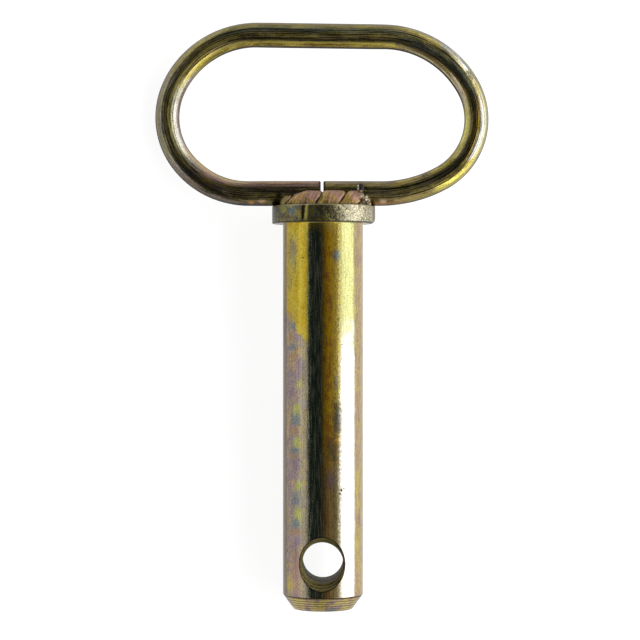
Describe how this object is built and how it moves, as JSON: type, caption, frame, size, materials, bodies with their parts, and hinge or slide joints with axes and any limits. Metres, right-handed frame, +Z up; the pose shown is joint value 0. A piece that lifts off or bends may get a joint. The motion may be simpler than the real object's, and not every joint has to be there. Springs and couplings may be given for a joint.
{
  "type": "top link pin",
  "caption": "Headed steel pin with a linch-pin hole through its chamfered tip and an oval loop handle of round bar welded across its head.",
  "frame": {"origin": "on the pin's axis, in the plane of the head's seat face; the pin lies as it rests on a flat surface, on its head, its tip and the left side of its loop", "axes": "+X across the pin to its right, +Y along the pin from tip to handle, +Z up; the pin's axis rises 1.78 degrees towards the handle, and the loop's flat side leans 15.88 degrees down to the left about it"},
  "size_m": [0.102, 0.1862, 0.0345],
  "materials": {
    "pin_plating": "turned steel, zinc plated with yellow iridescent passivation",
    "bar_plating": "drawn steel bar, zinc plated with olive and gold iridescent passivation",
    "weld_plating": "as-laid weld metal, zinc plated with pink and purple iridescent passivation"
  },
  "bodies": {
    "root": {"headed_pin": "pin_plating", "loop_handle": "bar_plating", "front_weld": "weld_plating", "rear_weld": "weld_plating"}
  },
  "joints": []
}
